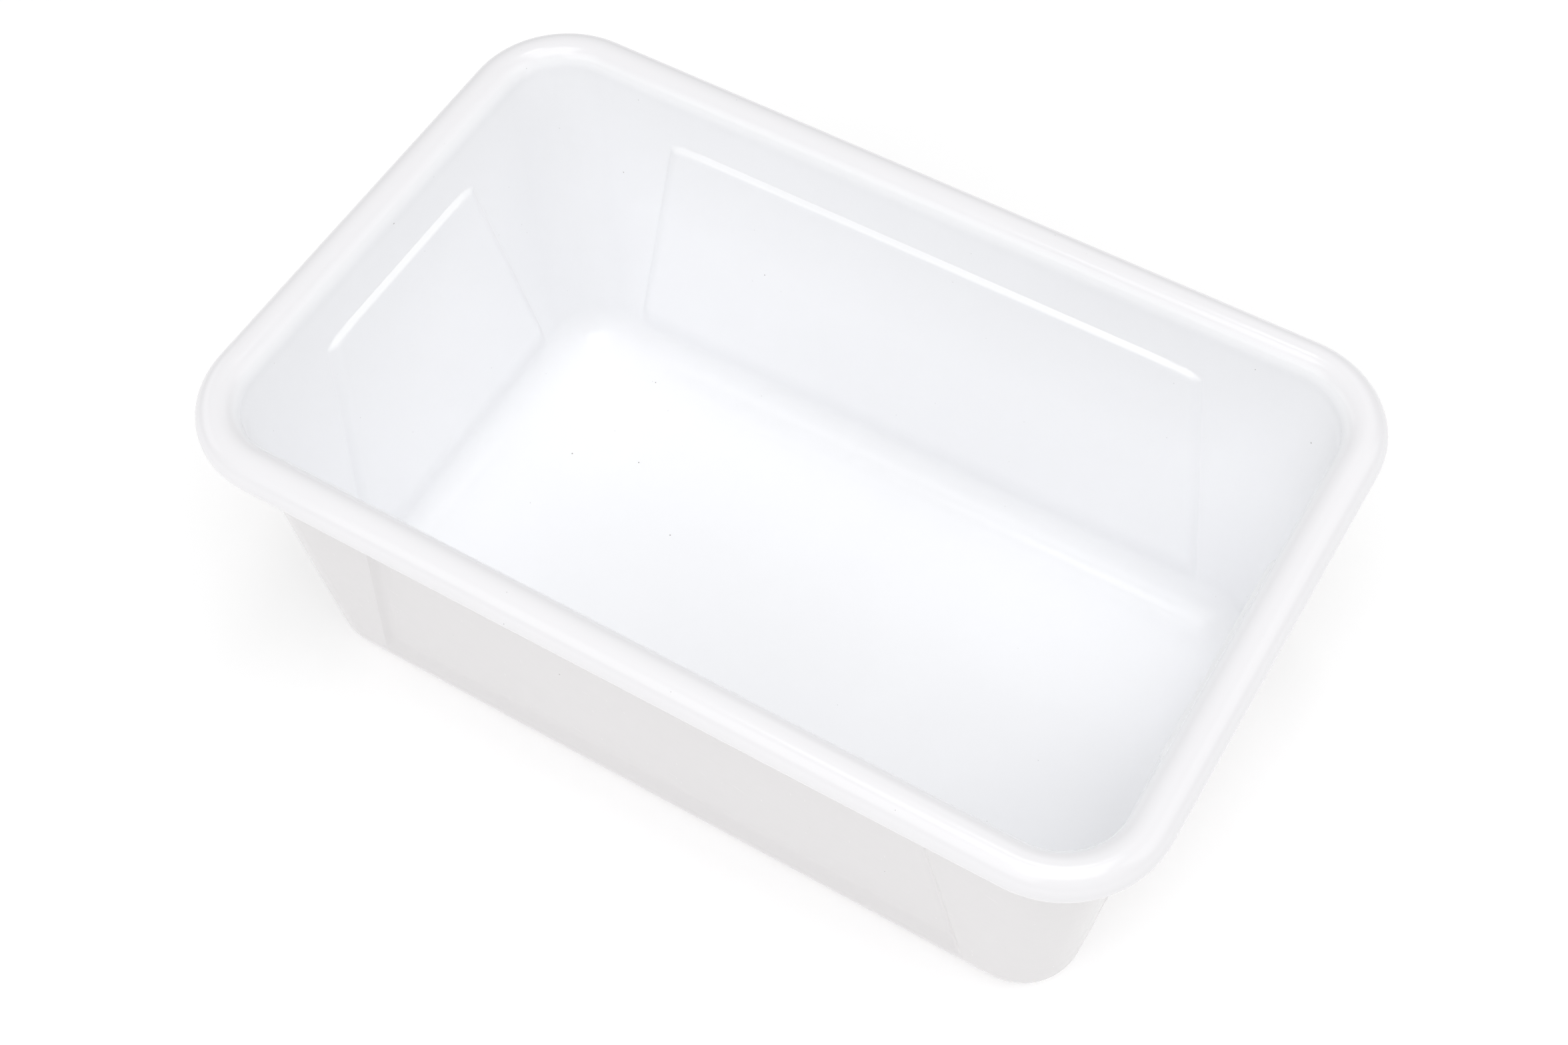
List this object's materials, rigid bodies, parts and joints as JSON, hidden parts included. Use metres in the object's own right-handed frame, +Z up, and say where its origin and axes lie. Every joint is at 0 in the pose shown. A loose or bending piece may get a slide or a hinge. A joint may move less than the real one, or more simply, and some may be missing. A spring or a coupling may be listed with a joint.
{
  "type": "deep rectangular tub with rolled rim",
  "caption": "Deep rectangular white plastic tub with drafted walls, a stepped panel in each wall and a thick rolled rim.",
  "frame": {"origin": "middle of the flat underside", "axes": "+X along the tub's length, +Y across its width, +Z up through the open mouth"},
  "size_m": [0.28, 0.179, 0.115],
  "materials": {
    "tub_plastic": "semi-gloss moulded white plastic",
    "rim_plastic": "gloss moulded white plastic"
  },
  "bodies": {
    "root": {"tub_body": "tub_plastic", "rolled_rim": "rim_plastic"}
  },
  "joints": []
}
